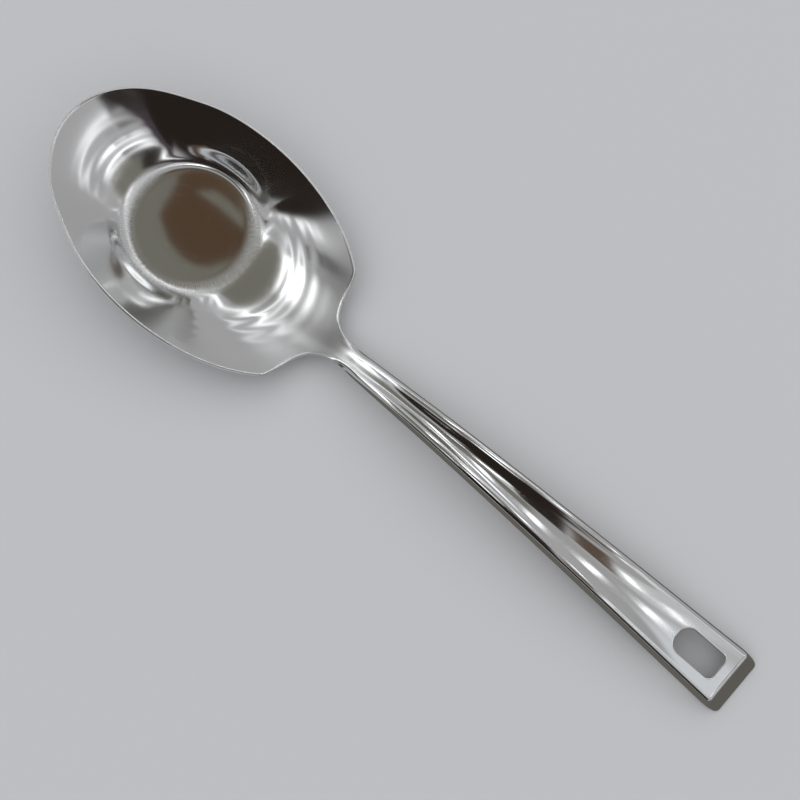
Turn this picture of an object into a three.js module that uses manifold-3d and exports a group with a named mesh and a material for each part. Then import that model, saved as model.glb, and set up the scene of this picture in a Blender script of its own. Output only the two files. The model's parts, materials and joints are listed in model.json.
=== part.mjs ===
// Rice serving spoon pressed from thin stainless sheet: an oval bowl with a flat round base and two
// square shoulders, and a troughed handle with turned-down edges, a bent-down end and a hang hole.
// Lengths are millimetres and angles are degrees. The spoon is shaped with its base level, the middle
// of the base's upper face at the origin and the handle along +X. It is then tipped back to lie as it
// does on a table, on the base's rear bend and the handle's end, with the bottom centre of its box at
// the origin and +Z up.
import * as THREE from 'three';
import { mergeVertices } from 'three/addons/utils/BufferGeometryUtils.js';
import Module from 'manifold-3d';

const wasm = await Module();
wasm.setup();

// Sheet
const SHEET_THICKNESS = 1.0;

// Bowl, measured on its upper face from the middle of the base. The rim is an oval whose centre lies
// RIM_SHIFT behind that middle. Each bend is given where its two slopes would meet, with its reach on
// either side, and the wall is steeper by WALL_STEEPENING past the second bend. Angles are counted from
// the handle's direction.
const BOWL_DEPTH = 15;
const RIM_HALF_LENGTH = 52.4;
const RIM_HALF_WIDTH = 32.8;
const RIM_SHIFT = 6.5;
const BASE_BEND_RADIUS = 20;
const BASE_BEND_REACH = 2.5;
const WALL_BEND_RADIUS = 27;
const WALL_BEND_REACH = 3.5;
const WALL_STEEPENING = 0.62;
const WAIST_DEPTH = 0.6;
const WAIST_ANGLE = 133;
const WAIST_SPREAD = 14;
const SHOULDER_ANGLE = 23.2;

// Neck, where the shoulders sweep in to the handle: an edge curve from each shoulder's corner to the
// narrowest place, with the leads of its two ends. Bowl and handle meet at the seam.
const SEAM_X = 54;
const NECK_X = 62;
const NECK_HALF_WIDTH = 3.7;
const NECK_LEAD = 12.7;
const SHOULDER_LEAD_X = 3.3;
const SHOULDER_LEAD_Y = 5.7;

// Handle: a troughed plate whose edge is turned down on both sides and at the end. The crest is where
// the plate ends and the lip begins. The side walls start low at the seam and grow towards the end.
const CREST_X = 198.3;
const CREST_HEIGHT = 42.5;
const CREST_SLOPE = 5;
const CREST_HALF_WIDTH = 9.3;
const TROUGH_DEPTH = 1.3;
const TROUGH_START = 40;
const END_TROUGH_DEPTH = 0.4;
const END_TROUGH_LENGTH = 45;
const EDGE_INNER_RADIUS = 0.3;
const EDGE_LEAD_IN = 0.3;
const EDGE_TURN_RUN = 16;
const WALL_LEAN = 8;
const SEAM_WALL_LENGTH = 0.4;
const WALL_LENGTH = 3.2;
const WALL_GROWTH_RUN = 34;
const END_WALL_LENGTH = 4.2;
const LIP_RUN = 5.7;
const LIP_SQUARENESS = 3;

// Hang hole
const HOLE_LENGTH = 14.2;
const HOLE_WIDTH = 7.8;
const HOLE_FRONT_RADIUS = 3.2;
const HOLE_END_RADIUS = 1.7;
const HOLE_TO_CREST = 2.6;

// How finely the curves are divided
const RIM_STEPS = 64;
const SHOULDER_STEPS = 7;
const BASE_BEND_STEPS = 4;
const WALL_STEPS = 7;
const TROUGH_STEPS = 4;
const EDGE_BEND_STEPS = 3;
const HANDLE_STEPS = 32;
const NECK_CROWDING = 0.4;
const LIP_CORNER_STEPS = 5;
const HOLE_CORNER_STEPS = 6;
const SLOPE_STEP = 0.01;
const BISECTIONS = 50;
const STEEPEST_LEAN = 80;
const STEEPEST_TIP = 45;

// Finish
const STEEL_COLOR = 0xc9cacb;
const BOWL_ROUGHNESS = 0.22;
const HANDLE_ROUGHNESS = 0.1;

const FULL_TURN = 2 * Math.PI;
const QUARTER_TURN = Math.PI / 2;
const radians = THREE.MathUtils.degToRad;
const { clamp, lerp, smoothstep } = THREE.MathUtils;

// The value between low and high where a rising function crosses zero
function risingRoot(f, low, high) {
  for (let i = 0; i < BISECTIONS; i += 1) {
    const middle = (low + high) / 2;
    if (f(middle) < 0) low = middle;
    else high = middle;
  }
  return (low + high) / 2;
}

function polar(length, direction) {
  return new THREE.Vector2(length * Math.cos(direction), length * Math.sin(direction));
}

// Level up to a bend, then rising one for one: the bend is eased over its reach on either side
function easedRise(distance, reach) {
  if (distance >= reach) return distance;
  const q = clamp((distance + reach) / (2 * reach), 0, 1);
  return 2 * reach * (q ** 3 - q ** 4 / 2);
}

// Bowl

// Distance from the base's middle to the rim: an oval whose centre lies behind the base's middle, drawn
// in a little on both sides of the tip
function rimDistance(angle) {
  const lengthwise = Math.cos(angle) / RIM_HALF_LENGTH;
  const crosswise = Math.sin(angle) / RIM_HALF_WIDTH;
  const shift = RIM_SHIFT / RIM_HALF_LENGTH;
  const stretch = lengthwise ** 2 + crosswise ** 2;
  const oval = (lengthwise * shift + Math.sqrt(stretch - (crosswise * shift) ** 2)) / stretch;
  const fromHandle = Math.abs(Math.atan2(Math.sin(angle), Math.cos(angle)));
  const offWaist = (fromHandle - radians(WAIST_ANGLE)) / radians(WAIST_SPREAD);
  return oval - WAIST_DEPTH * Math.exp(-(offWaist ** 2));
}

// Wall section along a ray: flat base, first bend, sloping band, second bend, steeper wall
function wallRise(distance) {
  const first = easedRise(distance - BASE_BEND_RADIUS, BASE_BEND_REACH);
  const second = easedRise(distance - WALL_BEND_RADIUS, WALL_BEND_REACH);
  return first + WALL_STEEPENING * second;
}

function bowlHeight(x, y) {
  const angle = Math.atan2(y, x);
  return BOWL_DEPTH * wallRise(Math.hypot(x, y)) / wallRise(rimDistance(angle));
}

function bowlPoint({ x, y }) {
  return new THREE.Vector3(x, y, bowlHeight(x, y));
}

// Neck: one edge curve runs from the shoulder's corner to the narrowest place
const shoulder = polar(rimDistance(radians(SHOULDER_ANGLE)), radians(SHOULDER_ANGLE));
const neckCurve = new THREE.CubicBezierCurve(
  shoulder,
  new THREE.Vector2(shoulder.x + SHOULDER_LEAD_X, shoulder.y - SHOULDER_LEAD_Y),
  new THREE.Vector2(NECK_X - NECK_LEAD, NECK_HALF_WIDTH),
  new THREE.Vector2(NECK_X, NECK_HALF_WIDTH),
);

function neckShareAt(x) {
  return risingRoot((share) => neckCurve.getPoint(share).x - x, 0, 1);
}

// Handle

const crestSpan = CREST_X - SEAM_X;
const crestSlope = Math.tan(radians(CREST_SLOPE));
const seamHeight = bowlHeight(SEAM_X, 0);
const seamSlope = (seamHeight - bowlHeight(SEAM_X - SLOPE_STEP, 0)) / SLOPE_STEP;

// Half width over the outer edges, as seen from above
function handleHalfWidth(x) {
  if (x < NECK_X) return neckCurve.getPoint(neckShareAt(x)).y;
  return lerp(NECK_HALF_WIDTH, CREST_HALF_WIDTH, (x - NECK_X) / (CREST_X - NECK_X));
}

// Height of the trough's bottom: one smooth arch from the bowl's back wall to the crest
function spineHeight(x) {
  const share = (x - SEAM_X) / crestSpan;
  const fromSeam = seamHeight * (1 + 2 * share) + seamSlope * crestSpan * share;
  const fromCrest = CREST_HEIGHT * (3 - 2 * share) - crestSlope * crestSpan * (1 - share);
  return fromSeam * (1 - share) ** 2 + fromCrest * share ** 2;
}

// Depth of the trough: as shallow as the bowl's back at the seam, full along the grip, shallow at the end
function troughDepth(x) {
  const width = handleHalfWidth(x);
  const seamWidth = handleHalfWidth(SEAM_X);
  const seamDepth = bowlHeight(SEAM_X, seamWidth) - seamHeight;
  const carried = seamDepth * (width / seamWidth) ** 2;
  const grip = lerp(TROUGH_DEPTH, END_TROUGH_DEPTH, smoothstep(x, CREST_X - END_TROUGH_LENGTH, CREST_X));
  return lerp(carried, grip, smoothstep(x, NECK_X, NECK_X + TROUGH_START));
}

// Profile across the edge, outwards and upwards from the trough's border: a bend, then a straight wall
function edgeProfile(rise, turn, wall) {
  const bendLength = EDGE_LEAD_IN + (EDGE_INNER_RADIUS + SHEET_THICKNESS) * turn;
  const points = [new THREE.Vector2()];
  for (let i = 0; i < EDGE_BEND_STEPS; i += 1) {
    const direction = rise - turn * (i + 0.5) / EDGE_BEND_STEPS;
    points.push(polar(bendLength / EDGE_BEND_STEPS, direction).add(points[i]));
  }
  points.push(polar(wall, rise - turn).add(points[EDGE_BEND_STEPS]));
  return points;
}

// Half of a cross-section: the trough as wide as the edge leaves room for, and the edge's profile
function sectionAt(x) {
  const depth = troughDepth(x);
  const turned = smoothstep(x, SEAM_X, SEAM_X + EDGE_TURN_RUN);
  const gripWall = lerp(WALL_LENGTH, END_WALL_LENGTH, smoothstep(x, NECK_X, CREST_X));
  const wall = lerp(SEAM_WALL_LENGTH, gripWall, smoothstep(x, SEAM_X, SEAM_X + WALL_GROWTH_RUN));
  const halfWidth = handleHalfWidth(x);

  function edgeBeside(troughHalf) {
    const rise = Math.atan2(2 * depth, troughHalf);
    return edgeProfile(rise, turned * (rise + radians(90 - WALL_LEAN)), wall);
  }

  const troughHalf = risingRoot((half) => half + edgeBeside(half).at(-1).x - halfWidth, 0, halfWidth);
  return { x, depth, troughHalf, edge: edgeBeside(troughHalf) };
}

// Sections along the handle, closer together at the neck
function handleSections() {
  const sections = [];
  for (let i = 0; i <= HANDLE_STEPS; i += 1) {
    const share = i / HANDLE_STEPS;
    sections.push(sectionAt(lerp(SEAM_X, CREST_X, lerp(share, share ** 2, NECK_CROWDING))));
  }
  return sections;
}

function troughRow({ x, depth, troughHalf }) {
  const row = [];
  for (let i = -TROUGH_STEPS; i <= TROUGH_STEPS; i += 1) {
    const share = i / TROUGH_STEPS;
    row.push(new THREE.Vector3(x, share * troughHalf, spineHeight(x) + depth * share ** 2));
  }
  return row;
}

// Points of an edge profile in space, outwards from a point on the trough's border along a heading
function spoke(border, heading, profile) {
  return profile.map((point) => {
    const out = polar(point.x, heading);
    return new THREE.Vector3(border.x + out.x, border.y + out.y, border.z + point.y);
  });
}

// Profile of the lip for a given reach outwards and drop: its lean follows from both
function lipProfile(rise, reach, drop) {
  function leaning(lean) {
    const turn = rise + QUARTER_TURN - lean;
    const bent = edgeProfile(rise, turn, 0).at(-1);
    return edgeProfile(rise, turn, (drop + bent.y) / Math.cos(lean));
  }

  const lean = risingRoot((angle) => leaning(angle).at(-1).x - reach, 0, radians(STEEPEST_LEAN));
  return leaning(lean);
}

// The bent-down end: a lip along the crest and a rounded corner on each side, from -Y to +Y
function lipSpokes(section, crest) {
  const sideEdge = section.edge.at(-1);
  const sideSlope = 2 * section.depth / section.troughHalf;
  const lowerEdge = crest[0].z + sideEdge.y;

  function lipSpoke(border, heading) {
    const outward = Math.cos(heading);
    const sideways = Math.abs(Math.sin(heading));
    const corner = (outward / LIP_RUN) ** LIP_SQUARENESS + (sideways / sideEdge.x) ** LIP_SQUARENESS;
    const rise = Math.atan(crestSlope * outward + sideSlope * sideways);
    return spoke(border, heading, lipProfile(rise, corner ** (-1 / LIP_SQUARENESS), border.z - lowerEdge));
  }

  const headings = [];
  for (let i = 1; i < LIP_CORNER_STEPS; i += 1) {
    const share = QUARTER_TURN * i / LIP_CORNER_STEPS;
    headings.push(Math.atan2(sideEdge.x * Math.sin(share), LIP_RUN * Math.cos(share)));
  }
  return [
    ...headings.toReversed().map((heading) => lipSpoke(crest[0], -heading)),
    ...crest.map((border) => lipSpoke(border, 0)),
    ...headings.map((heading) => lipSpoke(crest.at(-1), heading)),
  ];
}

const sections = handleSections();
const troughRows = sections.map(troughRow);
const leftEdge = sections.map(({ edge }, i) => spoke(troughRows[i][0], -QUARTER_TURN, edge));
const rightEdge = sections.map(({ edge }, i) => spoke(troughRows[i].at(-1), QUARTER_TURN, edge));
const seamRow = [...leftEdge[0].slice(1).reverse(), ...troughRows[0], ...rightEdge[0].slice(1)];

// Two triangles for each cell between neighbouring lines of points, without the empty ones at a shared
// point; the lines run to the right of the direction in which they follow each other, seen from above
function cellsBetween(lines) {
  const triangles = [];
  for (let i = 1; i < lines.length; i += 1) {
    const [before, after] = [lines[i - 1], lines[i]];
    for (let j = 1; j < before.length; j += 1) {
      triangles.push([before[j - 1], before[j], after[j]]);
      triangles.push([before[j - 1], after[j], after[j - 1]]);
    }
  }
  return triangles.filter(([a, b, c]) => !(a.equals(b) || b.equals(c) || c.equals(a)));
}

function handleFace() {
  const lip = lipSpokes(sections.at(-1), troughRows.at(-1));
  const edge = [...leftEdge, ...lip, ...rightEdge.toReversed()];
  const plate = troughRows.map((row) => row.toReversed());
  return [...cellsBetween(plate), ...cellsBetween(edge)];
}

// The point under an upper-face point, one sheet thickness below; at the seam it stays in the seam's plane
function underside(point, normal) {
  const across = normal.clone();
  if (Math.abs(point.x - SEAM_X) < SLOPE_STEP) across.x = 0;
  return point.clone().addScaledVector(across, -SHEET_THICKNESS / across.lengthSq());
}

function vectorsOf(attribute) {
  const vectors = [];
  for (let i = 0; i < attribute.count; i += 1) {
    vectors.push(new THREE.Vector3().fromBufferAttribute(attribute, i));
  }
  return vectors;
}

// A solid of the sheet's thickness under an upper face of triangles, counter-clockwise from above
function sheetSolid(face) {
  const upper = mergeVertices(new THREE.BufferGeometry().setFromPoints(face.flat()));
  upper.computeVertexNormals();
  const { position, normal } = upper.attributes;
  const points = vectorsOf(position);
  const normals = vectorsOf(normal);
  const lower = points.map((point, i) => underside(point, normals[i]));

  const corners = [...upper.index.array];
  const edges = corners.map((from, i) => [from, i % 3 === 2 ? corners[i - 2] : corners[i + 1]]);
  const sharedEdges = new Set(edges.map(([from, to]) => `${to} ${from}`));
  const below = (i) => i + position.count;
  const triangles = [...corners];
  for (let i = 0; i < corners.length; i += 3) {
    triangles.push(below(corners[i]), below(corners[i + 2]), below(corners[i + 1]));
  }
  for (const [from, to] of edges.filter(([from, to]) => !sharedEdges.has(`${from} ${to}`))) {
    triangles.push(below(from), below(to), to, below(from), to, from);
  }
  return new THREE.BufferGeometry().setFromPoints([...points, ...lower]).setIndex(triangles);
}

// Rounded slot that punches the hang hole square to the handle's top
function holePunch() {
  const halfLength = HOLE_LENGTH / 2;
  const halfWidth = HOLE_WIDTH / 2;
  const corners = [
    [1, 1, HOLE_END_RADIUS],
    [-1, 1, HOLE_FRONT_RADIUS],
    [-1, -1, HOLE_FRONT_RADIUS],
    [1, -1, HOLE_END_RADIUS],
  ];
  const outline = new THREE.Shape();
  corners.forEach(([sideX, sideY, radius], quarter) => {
    const [x, y] = [sideX * (halfLength - radius), sideY * (halfWidth - radius)];
    outline.absarc(x, y, radius, quarter * QUARTER_TURN, (quarter + 1) * QUARTER_TURN);
  });
  const punch = new THREE.ExtrudeGeometry(outline, {
    depth: HOLE_LENGTH,
    bevelEnabled: false,
    curveSegments: HOLE_CORNER_STEPS,
  });
  const middle = CREST_X - HOLE_TO_CREST - halfLength;
  const slope = (spineHeight(middle + halfLength) - spineHeight(middle - halfLength)) / HOLE_LENGTH;
  return punch
    .translate(0, 0, -HOLE_LENGTH / 2)
    .rotateY(-Math.atan(slope))
    .translate(middle, 0, spineHeight(middle));
}

function toManifold(geometry) {
  const bare = geometry.clone();
  bare.deleteAttribute('normal');
  bare.deleteAttribute('uv');
  const merged = mergeVertices(bare);
  return new wasm.Manifold(new wasm.Mesh({
    numProp: 3,
    vertProperties: new Float32Array(merged.attributes.position.array),
    triVerts: new Uint32Array(merged.index.array),
  }));
}

function fromManifold(solid) {
  const { vertProperties, triVerts } = solid.getMesh();
  const geometry = new THREE.BufferGeometry();
  geometry.setAttribute('position', new THREE.BufferAttribute(vertProperties, 3));
  geometry.setIndex(new THREE.BufferAttribute(triVerts, 1));
  return geometry;
}

// Edge of the bowl seen from above, counter-clockwise from the seam's -Y end to the start again
function bowlEdge() {
  const seamShare = neckShareAt(SEAM_X);
  const sweep = [];
  for (let i = 1; i < SHOULDER_STEPS; i += 1) {
    sweep.push(neckCurve.getPoint(seamShare * (1 - i / SHOULDER_STEPS)));
  }
  const rim = [];
  const rimTurn = FULL_TURN - 2 * radians(SHOULDER_ANGLE);
  for (let i = 0; i <= RIM_STEPS; i += 1) {
    const angle = radians(SHOULDER_ANGLE) + rimTurn * i / RIM_STEPS;
    rim.push(polar(rimDistance(angle), angle));
  }
  const farSweep = sweep.toReversed().map((point) => new THREE.Vector2(point.x, -point.y));
  const free = [...sweep, ...rim, ...farSweep].map(bowlPoint);
  return [...seamRow, ...free, seamRow[0]];
}

// Rays from the middle of the base out to the edge, with points where the wall bends
function bowlFace() {
  const flatRadius = BASE_BEND_RADIUS - BASE_BEND_REACH;
  const bentRadius = BASE_BEND_RADIUS + BASE_BEND_REACH;
  const middle = bowlPoint(new THREE.Vector2());
  const rays = bowlEdge().map((end) => {
    const reach = Math.hypot(end.x, end.y);
    const distances = [flatRadius - BASE_BEND_REACH];
    for (let i = 0; i < BASE_BEND_STEPS; i += 1) {
      distances.push(lerp(flatRadius, bentRadius, i / BASE_BEND_STEPS));
    }
    for (let i = 0; i < WALL_STEPS; i += 1) distances.push(lerp(bentRadius, reach, i / WALL_STEPS));
    const heading = Math.atan2(end.y, end.x);
    const between = distances.map((distance) => bowlPoint(polar(distance, heading)));
    return [middle, ...between, end];
  });
  return cellsBetween(rays);
}

// Lowest point of a geometry once the spoon is tipped back by an angle
function lowestWhenTipped(geometry, tip) {
  const places = geometry.attributes.position;
  let lowest = Infinity;
  for (let i = 0; i < places.count; i += 1) {
    lowest = Math.min(lowest, places.getZ(i) * Math.cos(tip) - places.getX(i) * Math.sin(tip));
  }
  return lowest;
}

const bowlSolid = sheetSolid(bowlFace());
const handleSolid = fromManifold(toManifold(sheetSolid(handleFace())).subtract(toManifold(holePunch())));

// The spoon lies on its base's rear bend and on the handle's end
const restTip = risingRoot(
  (tip) => lowestWhenTipped(bowlSolid, tip) - lowestWhenTipped(handleSolid, tip),
  0,
  radians(STEEPEST_TIP),
);

function steel(roughness) {
  return new THREE.MeshStandardMaterial({ color: STEEL_COLOR, metalness: 1, roughness });
}

const bowl = new THREE.Mesh(bowlSolid, steel(BOWL_ROUGHNESS));
bowl.name = 'bowl';
const handle = new THREE.Mesh(handleSolid, steel(HANDLE_ROUGHNESS));
handle.name = 'handle';

const tipped = new THREE.Group();
tipped.add(bowl, handle);
tipped.rotation.y = restTip;
tipped.updateMatrixWorld(true);
const box = new THREE.Box3().setFromObject(tipped, true);
tipped.position.set(-(box.min.x + box.max.x) / 2, 0, -box.min.z);

const spoon = new THREE.Group();
spoon.name = 'rice_serving_spoon';
spoon.add(tipped);

export default spoon;
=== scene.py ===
"""The looks of a pressed stainless rice serving spoon: a bowl pressed from a flat blank by a rule, a
handle with turned-down edges, their polished and brushed steel, and a plain stage to see them on.

Lengths are metres. The spoon is shaped with its base level, the middle of the base's upper face at the
origin and the handle along +X, and is then laid down as the frame's base face says."""
import json
import math
from functools import partial, partialmethod
from types import SimpleNamespace

import bpy
import numpy as np
from bpy.props import FloatProperty, FloatVectorProperty, PointerProperty
from mathutils import Matrix, Vector


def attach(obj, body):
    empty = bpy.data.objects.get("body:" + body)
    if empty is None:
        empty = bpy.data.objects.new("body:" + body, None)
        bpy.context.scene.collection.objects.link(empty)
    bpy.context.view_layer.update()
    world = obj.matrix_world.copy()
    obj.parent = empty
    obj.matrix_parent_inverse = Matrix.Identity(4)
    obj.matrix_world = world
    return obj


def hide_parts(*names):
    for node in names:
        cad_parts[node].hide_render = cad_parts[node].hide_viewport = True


bl_info = {
    "name": "Rice serving spoon",
    "version": (1, 0, 0),
    "blender": (4, 5, 0),
    "location": "3D View > Sidebar > Spoon",
    "description": "Presses and polishes a stainless rice serving spoon round its packed frame",
    "category": "Add Mesh",
}

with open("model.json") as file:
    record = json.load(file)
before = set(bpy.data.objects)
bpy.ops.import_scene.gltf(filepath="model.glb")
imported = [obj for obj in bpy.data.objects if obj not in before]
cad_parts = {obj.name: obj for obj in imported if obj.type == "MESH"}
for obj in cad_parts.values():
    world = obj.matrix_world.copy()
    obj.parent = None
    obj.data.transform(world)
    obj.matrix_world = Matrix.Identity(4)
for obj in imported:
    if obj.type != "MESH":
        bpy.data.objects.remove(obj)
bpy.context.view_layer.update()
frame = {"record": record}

# How finely the pieces are divided
SEAM_STEPS = 28
SWEEP_STEPS = 36
CORNER_STEPS = 8
RIM_STEPS = 280
FLAT_RINGS = 6
BASE_BEND_RINGS = 16
WALL_RINGS = 64
TROUGH_STEPS = 36
EDGE_BEND_STEPS = 10
EDGE_WALL_STEPS = 6
HANDLE_STEPS = 190
NECK_CROWDING = 0.45
END_STEPS = 44
HOLE_RINGS = 14
LIP_CORNER_STEPS = 16
ARC_STEPS = 4
BISECTIONS = 45
SLOPE_STEP = 0.0001
STEEPEST_LEAN = math.radians(80)
SEAM_SHARPNESS = math.radians(60)
QUARTER_TURN = math.pi / 2
CARD_RINGS = 6


class Term:
    """A number in a node tree that can be reckoned with like any other number."""

    def __init__(self, tree, socket):
        self.tree = tree
        self.socket = socket

    def reckon(self, operation, *numbers):
        node = self.tree.nodes.new("ShaderNodeMath")
        node.operation = operation
        for entry, number in zip(node.inputs, numbers):
            feed(self.tree, entry, number)
        return Term(self.tree, node.outputs[0])

    def before(self, operation, other):
        return self.reckon(operation, self, other)

    def after(self, operation, other):
        return self.reckon(operation, other, self)

    __add__ = partialmethod(before, "ADD")
    __radd__ = partialmethod(after, "ADD")
    __sub__ = partialmethod(before, "SUBTRACT")
    __rsub__ = partialmethod(after, "SUBTRACT")
    __mul__ = partialmethod(before, "MULTIPLY")
    __rmul__ = partialmethod(after, "MULTIPLY")
    __truediv__ = partialmethod(before, "DIVIDE")
    __rtruediv__ = partialmethod(after, "DIVIDE")


def feed(tree, entry, value):
    """Give a node's input a plain value, or join it to a Term or a socket."""
    if isinstance(value, Term):
        value = value.socket
    if isinstance(value, bpy.types.NodeSocket):
        tree.links.new(value, entry)
    else:
        entry.default_value = value


def add_node(tree, kind, settings=None, **inputs):
    """Add a node with its settings, feed its inputs, and give back its outputs."""
    node = tree.nodes.new(kind)
    for name, value in (settings or {}).items():
        setattr(node, name, value)
    for name, value in inputs.items():
        feed(tree, node.inputs[name], value)
    return node.outputs


def reckon(operation, plain, *numbers):
    """One step of a formula: a Math node if one of its numbers is a Term, and plain numpy otherwise."""
    for number in numbers:
        if isinstance(number, Term):
            return number.reckon(operation, *numbers)
    return plain(*numbers)


square_root = partial(reckon, "SQRT", np.sqrt)
exponential = partial(reckon, "EXPONENT", np.exp)
heading_of = partial(reckon, "ARCTAN2", np.arctan2)
size_of = partial(reckon, "ABSOLUTE", np.abs)
sine_of = partial(reckon, "SINE", np.sin)
smaller = partial(reckon, "MINIMUM", np.minimum)
larger = partial(reckon, "MAXIMUM", np.maximum)


# Settings


def length(name, description, default):
    return FloatProperty(
        name=name, description=description, default=default, subtype="DISTANCE", unit="LENGTH", precision=5
    )


def angle(name, description, degrees):
    return FloatProperty(
        name=name, description=description, default=math.radians(degrees), subtype="ANGLE", unit="ROTATION"
    )


def share(name, description, default):
    return FloatProperty(name=name, description=description, default=default, subtype="FACTOR")


def amount(name, description, default):
    return FloatProperty(name=name, description=description, default=default)


def colour(name, description, default):
    return FloatVectorProperty(
        name=name, description=description, default=default, subtype="COLOR", size=3, min=0.0, max=1.0
    )


class SheetSizes(bpy.types.PropertyGroup):
    thickness: length("Thickness", "Thickness of the steel sheet", 0.001)
    edge_radius: length("Edge radius", "Rounding of the cut edges", 0.0003)


class BowlSizes(bpy.types.PropertyGroup):
    depth: length("Depth", "Height of the rim over the flat base", 0.015)
    rim_half_length: length("Rim half length", "Half of the oval rim's length", 0.0524)
    rim_half_width: length("Rim half width", "Half of the oval rim's width", 0.0328)
    rim_shift: length(
        "Rim shift", "How far the oval's centre lies from the base's middle, to the handle", 0.0065
    )
    base_bend_radius: length("Base bend radius", "Distance of the base's bend from the middle", 0.020)
    base_bend_reach: length("Base bend reach", "Easing of the base's bend on either side", 0.0025)
    wall_bend_part: share("Wall bend part", "Place of the wall's bend on the way from base to rim", 0.27)
    wall_bend_reach: share("Wall bend reach", "Easing of the wall's bend, as a part of that way", 0.05)
    even_wall: length(
        "Even wall", "Width of a wall, seen from above, that is as steep past its bend as before", 0.0185
    )
    wall_steepening: share("Wall steepening", "How much steeper a wide wall is past its bend", 0.6)
    wall_curving: share("Wall curving", "How much steeper still a wide wall grows towards the rim", 2.0)
    ripple_slope: amount("Ripple slope", "Slope of the forming ripples past a wide wall's bend", 0.06)
    ripple_part: share("Ripple part", "Spacing of the ripples, as a part of the way from base to rim", 0.14)
    ripple_end: share("Ripple end", "Where the ripples have died away, on the way from base to rim", 0.8)
    waist_depth: length("Waist depth", "How far the rim is drawn in beside the tip", 0.0006)
    waist_angle: angle("Waist angle", "Direction of the drawn-in places from the handle", 133)
    waist_spread: angle("Waist spread", "Spread of the drawn-in places", 14)


class NeckSizes(bpy.types.PropertyGroup):
    shoulder_angle: angle("Shoulder angle", "Direction of the shoulder's corner from the handle", 23.2)
    corner_easing: length("Corner easing", "How far the shoulder's corner is rounded off", 0.0011)
    seam_x: length("Seam", "Where bowl and handle meet", 0.054)
    narrowest_x: length("Narrowest place", "Where the neck is narrowest", 0.062)
    half_width: length("Half width", "Half of the neck's width at its narrowest place", 0.0037)
    neck_lead: length("Neck lead", "Lead of the edge curve at the narrowest place", 0.0127)
    shoulder_lead_x: length("Shoulder lead along", "Edge curve's lead at the shoulder, along X", 0.0033)
    shoulder_lead_y: length("Shoulder lead across", "Edge curve's lead at the shoulder, along Y", 0.0057)


class HandleSizes(bpy.types.PropertyGroup):
    crest_x: length("Crest", "Where the plate ends and the lip begins", 0.1983)
    crest_height: length("Crest height", "Height of the crest over the bowl's base", 0.0425)
    crest_slope: angle("Crest slope", "Slope of the plate at the crest", 5)
    crest_half_width: length("Crest half width", "Half of the handle's width at the crest", 0.0093)
    trough_depth: length("Trough depth", "Depth of the trough along the grip", 0.0013)
    trough_start: length("Trough start", "Run over which the trough reaches its depth", 0.040)
    end_trough_depth: length("End trough depth", "Depth of the trough at the crest", 0.0004)
    end_trough_length: length("End trough length", "Run over which the trough grows shallow", 0.045)
    edge_inner_radius: length("Edge inner radius", "Inner radius of the turned edge", 0.0003)
    edge_lead_in: length("Edge lead-in", "Straight run before the edge turns", 0.0003)
    edge_turn_run: length("Edge turn run", "Run over which the edge turns down", 0.016)
    wall_lean: angle("Wall lean", "Lean of the side walls", 8)
    seam_wall: length("Wall at the seam", "Length of the side walls at the seam", 0.0004)
    wall: length("Wall", "Length of the side walls along the grip", 0.0032)
    wall_growth_run: length("Wall growth run", "Run over which the side walls grow", 0.034)
    end_wall: length("End wall", "Length of the side walls at the crest", 0.0042)
    lip_run: length("Lip run", "How far the lip reaches past the crest", 0.0057)
    lip_squareness: amount("Lip squareness", "How square the lip's corners are", 3)
    seam_easing: length("Seam easing", "Run over which the bowl's form passes into the handle's", 0.012)


class HoleSizes(bpy.types.PropertyGroup):
    length: length("Length", "Length of the hang hole", 0.0142)
    width: length("Width", "Width of the hang hole", 0.0078)
    front_radius: length("Front radius", "Corner radius towards the bowl", 0.0032)
    end_radius: length("End radius", "Corner radius towards the crest", 0.0017)
    to_crest: length("To crest", "Steel left between the hole and the crest", 0.0026)
    margin: length("Margin", "Run in front of the hole that makes room for it", 0.005)


class FinishSettings(bpy.types.PropertyGroup):
    steel: colour("Steel", "Colour of the polished steel", (0.74, 0.74, 0.735))
    cut_edge: colour("Cut edge", "Colour of the ground edges", (0.86, 0.86, 0.85))
    base_roughness: share("Base roughness", "Roughness of the bowl's base", 0.04)
    wall_roughness: share("Wall roughness", "Roughness of the bowl's wall", 0.09)
    brushed_roughness: share("Brushed roughness", "Roughness of the brushed bends", 0.36)
    neck_roughness: share("Neck roughness", "Roughness of the shoulders and the neck", 0.2)
    handle_roughness: share("Handle roughness", "Roughness of the handle", 0.1)
    edge_roughness: share("Edge roughness", "Roughness of the ground edges", 0.28)
    hair_count: amount("Hair count", "Brush marks in a radian round the base", 150)
    hair_length: length("Hair length", "Length of a brush mark", 0.004)
    hair_depth: length("Hair depth", "Depth of a brush mark", 0.000008)
    scratch_rarity: share("Scratch rarity", "How rare the scratches are", 0.83)


class StageSettings(bpy.types.PropertyGroup):
    floor: colour("Floor", "Colour of the floor", (0.52, 0.525, 0.54))
    ceiling: colour("Ceiling", "Colour of the studio overhead", (0.42, 0.42, 0.42))
    walls: colour("Walls", "Colour of the studio's walls", (0.46, 0.46, 0.47))
    horizon: colour("Horizon", "Colour of the studio round the floor", (0.44, 0.44, 0.45))
    camera_distance: length("Camera distance", "From the camera to the point that it aims at", 0.430)
    camera_focal: amount("Focal length", "Focal length in millimetres on a 36 mm sensor", 66.73)
    lean_along: angle("Lean along", "How far the camera leans towards the handle's end", 1.994)
    lean_across: angle("Lean across", "How far the camera leans towards +Y", -6.706)
    turn: angle("Turn", "How far the spoon is turned in the picture", 41.47)
    aim: FloatVectorProperty(
        name="Aim",
        description="Point that the camera aims at, from the middle of the base",
        default=(0.08243, 0.00078, 0.015),
        subtype="TRANSLATION",
        size=3,
    )


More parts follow.
